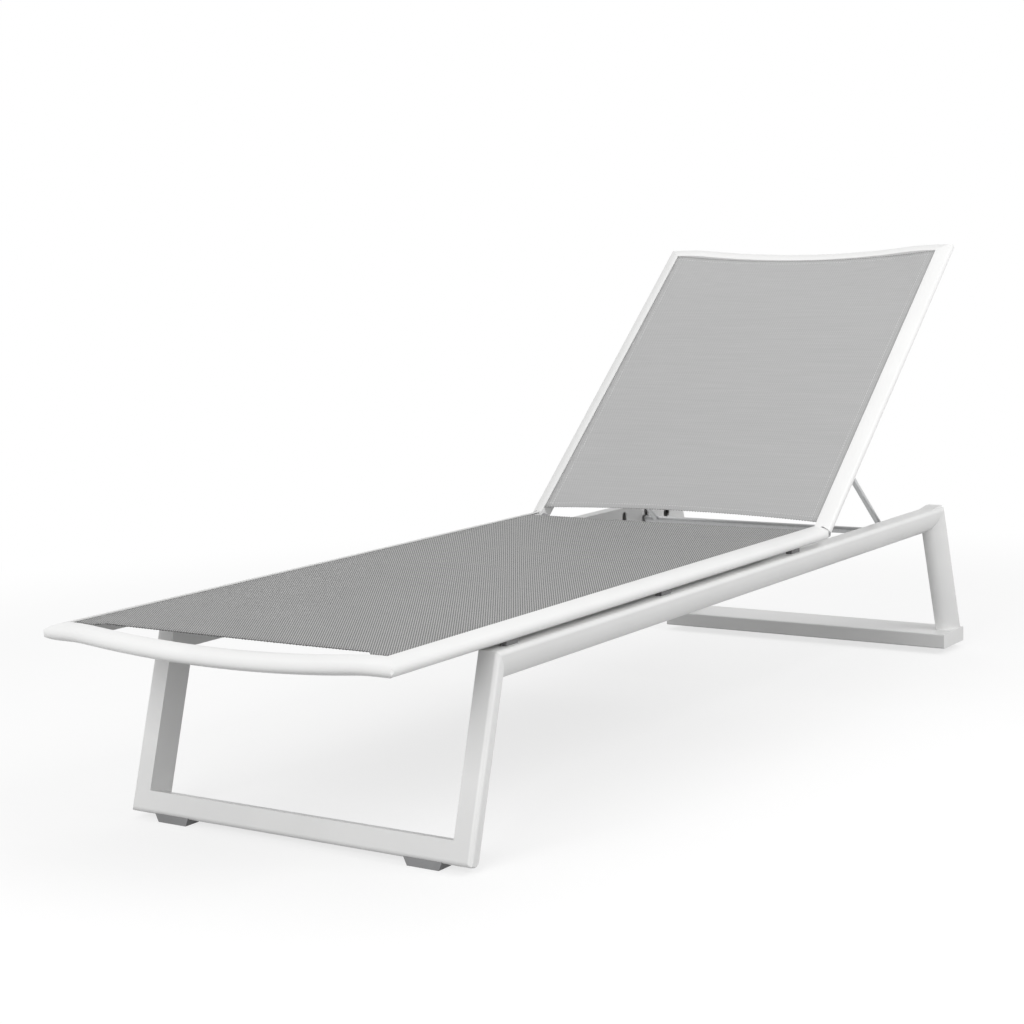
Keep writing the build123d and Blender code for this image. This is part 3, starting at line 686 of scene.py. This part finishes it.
@dataclass
class Sling:
    """A sling of one cloth: its long edges run into the rails and its ends are folded under.

    Across the width the cloth lies in two layers between each groove and the side seam. The
    fields near, far and level give its two ends and its height at a place across the width.
    """

    name: str
    body: str
    plane: PanelPlane
    node: str
    slot: str
    cloth: bpy.types.Material
    thread: bpy.types.Material
    edge: bpy.types.Material
    half_width: float
    opening: float
    near: Callable[[float], float]
    far: Callable[[float], float]
    level: Callable[[float, float], float]
    rows: int
    columns: int = 44
    lap_columns: int = 4
    thickness: float = 0.0007
    solid_share: float = 0.94
    seam: float = 0.014
    lap: float = 0.003
    lap_slack: float = 0.001
    end_hem: float = 0.012
    fold_turns: tuple[float, ...] = (0.85, 0.5, 0.15)
    seam_start: float = 0.003
    row_start: float = 0.002
    seam_stitches: Stitching = field(default_factory=Stitching)
    yarn_ends: Stitching = field(
        default_factory=lambda: Stitching(pitch=0.0058, length=0.0030, thread=0.0020, seed=11)
    )

    def lap_edge(self) -> float:
        """Returns how far out the folded strip's cut edge lies, just inside the side seam."""
        return self.opening - self.seam - self.lap

    def layers(self) -> list[tuple[float, float, bool]]:
        """Sets out the cloth's columns.

        Returns:
            Each column's x, its flat x, and whether it is in the layer underneath.
        """
        under = steps(self.lap_edge(), self.half_width, self.lap_columns)
        left = [(-x, -2 * self.half_width + x, True) for x in under]
        right = [(x, 2 * self.half_width - x, True) for x in reversed(under)]
        top = [(x, x, False) for x in steps(-self.half_width, self.half_width, self.columns)]
        return left + top + right

    def stations(self, x: float) -> list[tuple[float, float, float]]:
        """Sets out the cloth's rows at a place across the width.

        Args:
            x: The place across the width.

        Returns:
            Each row's distance from the hinge, its flat distance and its turn, which is 0 on
            top, 1 on the part that is folded under, and between them on the fold.
        """
        near, far = self.near(x), self.far(x)
        nose, hem = self.thickness, self.end_hem
        first = [(near + hem, near - hem, 1.0), (near + nose, near - nose, 1.0)]
        last = [(far - nose, far + nose, 1.0), (far - hem, far + hem, 1.0)]
        turns = self.fold_turns
        into = [(near + nose * abs(1 - 2 * turn), near, turn) for turn in turns]
        out = [(far - nose * abs(1 - 2 * turn), far, turn) for turn in reversed(turns)]
        flat = [(d, d, 0.0) for d in steps(near + nose, far - nose, self.rows)]
        return first + into + flat + out + last

    def height(self, x: float, distance: float, turn: float, under: bool) -> float:
        """Finds how far a point of the cloth stands out of the panel's plane.

        Args:
            x: Its place across the width.
            distance: Its distance from the hinge.
            turn: How far the end's fold has turned there.
            under: Whether it is in the layer underneath.

        Returns:
            The height.
        """
        top = self.level(x, distance) + self.thickness / 2
        layer = -self.thickness if under else 0.0
        doubled = abs(x) > self.lap_edge() - self.lap_slack
        mirror = -(3 if doubled else 1) * self.thickness
        folded = mirror - layer
        return top + layer + (folded - layer) * turn

    def build(self) -> bpy.types.Object:
        """Builds the cloth as one folded sheet with its flat coordinates.

        Returns:
            The cloth.
        """
        columns = self.layers()
        points, flats, faces, hidden = [], [], [], []
        for x, flat_x, under in columns:
            for distance, flat_y, turn in self.stations(x):
                points.append(self.plane.at(x, distance, self.height(x, distance, turn, under)))
                flats.append((flat_x, flat_y))
                hidden.append(turn > 0 and abs(x) > self.opening)
        rows = len(points) // len(columns)
        for column in range(len(columns) - 1):
            for row in range(rows - 1):
                corner = column * rows + row
                face = (corner, corner + rows, corner + rows + 1, corner + 1)
                if not any(hidden[number] for number in face):
                    faces.append(face)
        piece = mesh_object(self.name, points, faces)
        unwrap = piece.data.uv_layers.new(name="cloth")
        for loop in piece.data.loops:
            unwrap.data[loop.index].uv = flats[loop.vertex_index]
        piece.data.polygons.foreach_set("use_smooth", [True] * len(piece.data.polygons))
        piece.data.materials.append(self.cloth)
        body = piece.modifiers.new("cloth_thickness", "SOLIDIFY")
        body.thickness = self.thickness * self.solid_share
        body.offset = 0.0
        LOG.info("built %s: %d faces", self.name, len(faces))
        return piece

    def seam_line(self, side: Side) -> list[Vector]:
        """Follows a side seam.

        Args:
            side: The side that it is on.

        Returns:
            The seam's points on the cloth's face.
        """
        x = side.value * (self.opening - self.seam)
        start, end = self.near(x) + self.seam_start, self.far(x) - self.seam_start
        lift = self.thickness
        return [self.plane.at(x, d, self.level(x, d) + lift) for d in steps(start, end, self.rows)]

    def end_line(self, far_end: bool, inset: float, lift: float) -> list[Vector]:
        """Follows an end of the cloth from rail to rail.

        Args:
            far_end: Whether it is the end away from the hinge.
            inset: Distance from the end's fold.
            lift: Height above the middle of the cloth.

        Returns:
            The line's points.
        """
        line = []
        reach = self.opening - self.row_start
        for x in steps(-reach, reach, self.columns):
            d = self.far(x) - inset if far_end else self.near(x) + inset
            line.append(self.plane.at(x, d, self.level(x, d) + lift))
        return line

    def flat_size(self) -> tuple[float, float]:
        """Returns the width and length that the cloth was cut to."""
        width = 2 * self.half_width + 2 * (self.half_width - self.lap_edge())
        return width, self.far(0.0) - self.near(0.0) + 2 * self.end_hem

    def stitches(self) -> bpy.types.Object:
        """Sews the side seams and the end seams.

        Returns:
            The stitches.
        """
        inset = self.end_hem - self.row_start
        runs = [self.seam_line(side) for side in Side]
        runs += [self.end_line(end, inset, self.thickness) for end in (False, True)]
        return self.seam_stitches.sew(f"{self.name}_stitches", runs, self.thread)

    def edge_yarns(self) -> bpy.types.Object:
        """Makes the row of yarn ends that shows along both folded ends, and returns it."""
        runs = [self.end_line(end, 0.0, 0.0) for end in (False, True)]
        return self.yarn_ends.sew(f"{self.name}_edge_yarns", runs, self.edge)

    def dress(self, rests_on: list[str]) -> None:
        """Args:
            rests_on: The nodes that hold the sling's edges; not used.
        """
        cloth = self.build()
        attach(cloth, self.body)
        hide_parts(self.node)
        extras = [self.stitches(), self.edge_yarns()]
        for extra in extras:
            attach(extra, self.body)
        flat = self.flat_size()


@dataclass
class BaseFrame:
    """The base: two rails, four legs and two crossbars on grey pads."""

    nodes: dict[str, bpy.types.Object]
    finishes: Finishes

    def dress(self) -> None:
        """Paints the tubes and gives the pads their plastic."""
        tubes = pair("base_rail") + pair("front_leg") + pair("rear_leg")
        tubes += ["front_crossbar", "rear_crossbar", "rear_bar_caps"]
        dress(self.nodes, tubes, self.finishes.get("paint"))
        dress(self.nodes, pair("front_pad") + pair("rear_pad"), self.finishes.get("pad"))


@dataclass
class SeatFrame:
    """The seat: two rails, a bowed foot bar and two spreaders, bolted to the base."""

    nodes: dict[str, bpy.types.Object]
    finishes: Finishes
    hinge: Vector
    sag: float = 0.001
    tab: float = 0.014
    tab_width: float = 0.040
    rows: int = 120

    def sling(self) -> Sling:
        """Places the seat's sling by its solid.

        Returns:
            The sling, with a longer hem beside each rail.
        """
        low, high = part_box("seat_sling")
        near_end, foot_end = self.hinge.y - high.y, self.hinge.y - low.y
        middle = (low.z + high.z) / 2 - self.hinge.z
        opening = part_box("seat_rail_right")[0].x

        def far(x: float) -> float:
            """The foot end, which runs on in a tab of hem beside each rail."""
            return foot_end + (self.tab if abs(x) > opening - self.tab_width else 0.0)

        def level(x: float, distance: float) -> float:
            """The cloth's height: a shallow belly between the rails."""
            share = min(1.0, abs(x) / opening)
            return middle - self.sag * (1 - share**2)

        return Sling(
            name="seat_cloth",
            body="base",
            plane=PanelPlane(self.hinge, Vector((0, -1, 0)), Vector((0, 0, 1))),
            node="seat_sling",
            slot="seat_mesh",
            cloth=self.finishes.get("seat"),
            thread=self.finishes.get("seat_thread"),
            edge=self.finishes.get("seat_edge"),
            half_width=high.x,
            opening=opening,
            near=lambda x: near_end,
            far=far,
            level=level,
            rows=self.rows,
        )

    def dress(self) -> None:
        """Paints the frame, finishes its fasteners and fits the sling."""
        painted = pair("seat_rail") + ["foot_bar", "seat_spreader_front", "seat_spreader_rear"]
        dress(self.nodes, painted, self.finishes.get("paint"))
        steel = ["frame_bolts", "hinge_bolts", "hinge_nut_washers", "hinge_nuts"]
        dress(self.nodes, steel, self.finishes.get("steel"))
        # The spacers and hinge washers take that plastic, whose dark tone is partly painted shade.
        dress(self.nodes, ["seat_spacers", "hinge_washers"], self.finishes.get("spacer"))
        dress(self.nodes, pair("seat_spline"), self.finishes.get("cord"))
        self.sling().dress(pair("seat_rail"))


@dataclass
class Backrest:
    """The backrest: two rails, a bowed top bar and two spreaders, tilted about the hinge."""

    nodes: dict[str, bpy.types.Object]
    finishes: Finishes
    hinge: Vector
    tilt: float = 40.57
    foot: float = 0.0180
    foot_bow: float = 0.0110
    head: float = 0.7487
    groove: float = 0.01125
    bow: float = 0.020
    bow_start: float = 0.56
    bow_ease: float = 1.3
    stub: float = 0.040
    sag: float = 0.001
    sag_fade: float = 0.15
    rows: int = 80

    def sling(self) -> Sling:
        """Places the backrest's sling.

        Returns:
            The sling, which follows the bowed top bar.
        """
        tilt = math.radians(self.tilt)
        along = Vector((0, math.cos(tilt), math.sin(tilt)))
        out = Vector((0, -math.sin(tilt), math.cos(tilt)))
        half_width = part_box("back_sling")[1].x
        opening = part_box("seat_rail_right")[0].x
        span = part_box("top_bar")[1].x - self.stub

        def near(x: float) -> float:
            """The lower edge, which bows up towards the middle."""
            return self.foot + self.foot_bow * (1 - (x / half_width) ** 2)

        def level(x: float, distance: float) -> float:
            """Finds the cloth's height: a shallow belly that turns into the top bar's bow.

            Args:
                x: The place across the width.
                distance: Distance from the hinge.

            Returns:
                The height out of the panel's plane.
            """
            share = min(1.0, abs(x) / opening)
            fade = min(1.0, (self.head - distance) / self.sag_fade)
            belly = self.sag * (1 - share**2) * fade
            turn = max(0.0, (distance - self.bow_start) / (self.head - self.bow_start))
            drawn = self.bow * turn**self.bow_ease * max(0.0, 1 - (x / span) ** 2)
            return self.groove - belly - drawn

        return Sling(
            name="back_cloth",
            body="backrest",
            plane=PanelPlane(self.hinge, along, out),
            node="back_sling",
            slot="back_mesh",
            cloth=self.finishes.get("back"),
            thread=self.finishes.get("back_thread"),
            edge=self.finishes.get("back_edge"),
            half_width=half_width,
            opening=opening,
            near=near,
            far=lambda x: self.head,
            level=level,
            rows=self.rows,
        )

    def dress(self) -> None:
        """Paints the frame, finishes the bail's pins and fits the sling."""
        painted = pair("back_rail") + ["top_bar", "back_spreader_lower", "back_spreader_upper"]
        dress(self.nodes, painted, self.finishes.get("paint"))
        dress(self.nodes, ["bail_pins"], self.finishes.get("steel"))
        dress(self.nodes, pair("back_spline"), self.finishes.get("cord"))
        self.sling().dress(pair("back_rail") + ["top_bar"])


@dataclass
class Bail:
    """The bail that props the backrest: two rods joined by a capped crossbar."""

    nodes: dict[str, bpy.types.Object]
    finishes: Finishes

    def dress(self) -> None:
        """Gives the rods their satin metal and the caps their plastic."""
        dress(self.nodes, pair("bail_leg") + ["bail_crossbar"], self.finishes.get("rod"))
        dress(self.nodes, ["bail_caps"], self.finishes.get("pad"))


# Studio


@dataclass(frozen=True)
class Softbox:
    """A square lamp with its aim, the length of its side and its power in watts."""

    name: str
    place: Point
    aim: Point
    size: float
    power: float

    def hang(self) -> bpy.types.Object:
        """Hangs the lamp.

        Returns:
            The lamp.
        """
        data = bpy.data.lights.new(self.name, "AREA")
        data.size = self.size
        data.energy = self.power
        lamp = bpy.data.objects.new(self.name, data)
        lamp.location = self.place
        facing = Vector(self.aim) - Vector(self.place)
        lamp.rotation_euler = facing.to_track_quat("-Z", "Y").to_euler()
        bpy.context.scene.collection.objects.link(lamp)
        return lamp


@dataclass
class Studio:
    """A pale floor, soft lamps and the camera at the photograph's viewing angle."""

    camera_place: Point = (1.9913, -3.12005, 0.8945)
    yaw: float = 34.31
    pitch: float = 7.68
    roll: float = -1.93
    lens: float = 74.36
    sensor: float = 36.0
    view_end: float = 200.0
    floor_size: float = 24.0
    floor_tone: Colour = (0.3, 0.3, 0.3)
    floor_shade: float = 0.99
    floor_lift: float = 0.715
    shadow_reach: float = 2.6
    shadow_fade: float = 0.45
    sky: float = 0.47
    lamps: tuple[Softbox, ...] = (
        Softbox("overhead_softbox", (-0.9, 0.5, 3.0), (0.0, 0.0, 0.0), 2.6, 15.0),
        Softbox("front_softbox", (0.4, -4.3, 2.1), (0.0, 0.0, 0.4), 2.4, 83.0),
        Softbox("side_softbox", (3.4, 0.4, 3.0), (0.0, 0.2, 0.3), 2.0, 61.0),
        Softbox("low_softbox", (4.2, -0.4, 0.8), (0.0, 0.2, 0.2), 1.6, 26.0),
    )

    def camera(self) -> bpy.types.Object:
        """Places the camera and makes it the scene's.

        Returns:
            The camera.
        """
        yaw, pitch, roll = (math.radians(angle) for angle in (self.yaw, self.pitch, self.roll))
        flat = math.cos(pitch)
        ahead = Vector((-math.sin(yaw) * flat, math.cos(yaw) * flat, -math.sin(pitch)))
        level = Vector((math.cos(yaw), math.sin(yaw), 0))
        upright = level.cross(ahead)
        right = level * math.cos(roll) + upright * math.sin(roll)
        up = upright * math.cos(roll) - level * math.sin(roll)
        data = bpy.data.cameras.new("photo_camera")
        data.lens = self.lens
        data.sensor_width = self.sensor
        data.clip_end = self.view_end
        camera = bpy.data.objects.new("photo_camera", data)
        bpy.context.scene.collection.objects.link(camera)
        turned = Matrix((right, up, -ahead)).transposed().to_4x4()
        camera.matrix_world = Matrix.Translation(self.camera_place) @ turned
        bpy.context.scene.camera = camera
        return camera

    @staticmethod
    def seen(tree: bpy.types.NodeTree) -> Socket:
        """Adds a test for rays that show a surface itself.

        Args:
            tree: The node tree that gets the test.

        Returns:
            1 for rays from the camera, from gloss and through glass, and 0 for the rest.
        """
        path = tree.nodes.new("ShaderNodeLightPath")
        result = path.outputs["Is Camera Ray"]
        for name in ("Is Glossy Ray", "Is Transmission Ray"):
            either = tree.nodes.new("ShaderNodeMath")
            either.operation = "MAXIMUM"
            tree.links.new(result, either.inputs[0])
            tree.links.new(path.outputs[name], either.inputs[1])
            result = either.outputs[0]
        return result

    def world(self) -> None:
        """Makes the sky: soft light on the lounger and a white background."""
        world = bpy.data.worlds.new("studio_sky")
        world.use_nodes = True
        tree = world.node_tree
        tree.nodes.clear()
        add, join = tree.nodes.new, tree.links.new
        light, white = add("ShaderNodeBackground"), add("ShaderNodeBackground")
        light.inputs["Color"].default_value = WHITE
        light.inputs["Strength"].default_value = self.sky
        white.inputs["Color"].default_value = WHITE
        mix, output = add("ShaderNodeMixShader"), add("ShaderNodeOutputWorld")
        join(self.seen(tree), mix.inputs[0])
        join(light.outputs[0], mix.inputs[1])
        join(white.outputs[0], mix.inputs[2])
        join(mix.outputs[0], output.inputs[0])
        bpy.context.scene.world = world

    def floor_material(self) -> bpy.types.Material:
        """Makes the floor's paint, which holds the shadow near the lounger and fades to white.

        Returns:
            The paint as a material.
        """
        shader = Shader("studio_floor", 0.9, self.floor_tone)
        shader.set(Specular_IOR_Level=0.0)
        shader.mottled(shader.cloud(2.0), self.floor_tone, self.floor_shade)
        lifted = shader.node("ShaderNodeMixShader")
        shader.join(self.seen(shader.tree), lifted, 0)
        shader.join(shader.emission(0.0), lifted, 1)
        shader.join(shader.emission(self.floor_lift), lifted, 2)
        near = shader.node("ShaderNodeAddShader")
        shader.join(shader.surface.outputs[0], near, 0)
        shader.join(lifted.outputs[0], near, 1)
        ball = shader.node("ShaderNodeTexGradient", gradient_type="SPHERICAL")
        reach = shader.stretched((1 / self.shadow_reach, 1 / self.shadow_reach, 1.0))
        shader.join(reach, ball, "Vector")
        mix = shader.node("ShaderNodeMixShader")
        shader.join(shader.spread(ball.outputs["Fac"], 1.0, 0.0, 0.0, self.shadow_fade), mix, 0)
        shader.join(near.outputs[0], mix, 1)
        shader.join(shader.emission(), mix, 2)
        shader.join(mix.outputs[0], shader.tree.nodes["Material Output"], "Surface")
        return shader.material

    def floor(self) -> bpy.types.Object:
        """Lays the floor.

        Returns:
            The floor.
        """
        half = self.floor_size / 2
        signs = ((-1, -1), (1, -1), (1, 1), (-1, 1))
        corners = [Vector((x * half, y * half, 0)) for x, y in signs]
        floor = mesh_object("studio_floor", corners, [(0, 1, 2, 3)])
        floor.data.materials.append(self.floor_material())
        return floor

    def set_up(self) -> None:
        """Sets the whole studio up."""
        self.camera()
        self.world()
        self.floor()
        for lamp in self.lamps:
            lamp.hang()
        bpy.context.scene.view_settings.view_transform = "Standard"
        LOG.info("studio is set up")


def main() -> None:
    """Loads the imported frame, dresses each sub-assembly in turn and sets the studio up."""
    logging.basicConfig(level=logging.INFO, format="%(name)s: %(message)s")
    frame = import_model()
    nodes = frame["nodes"]
    finishes = Finishes()
    hinge = Vector(next(j["pos_m"] for j in frame["joints"] if j["name"] == "backrest_hinge"))
    Studio().set_up()
    BaseFrame(nodes, finishes).dress()
    SeatFrame(nodes, finishes, hinge).dress()
    Backrest(nodes, finishes, hinge).dress()
    Bail(nodes, finishes).dress()


if __name__ == "__main__":
    main()
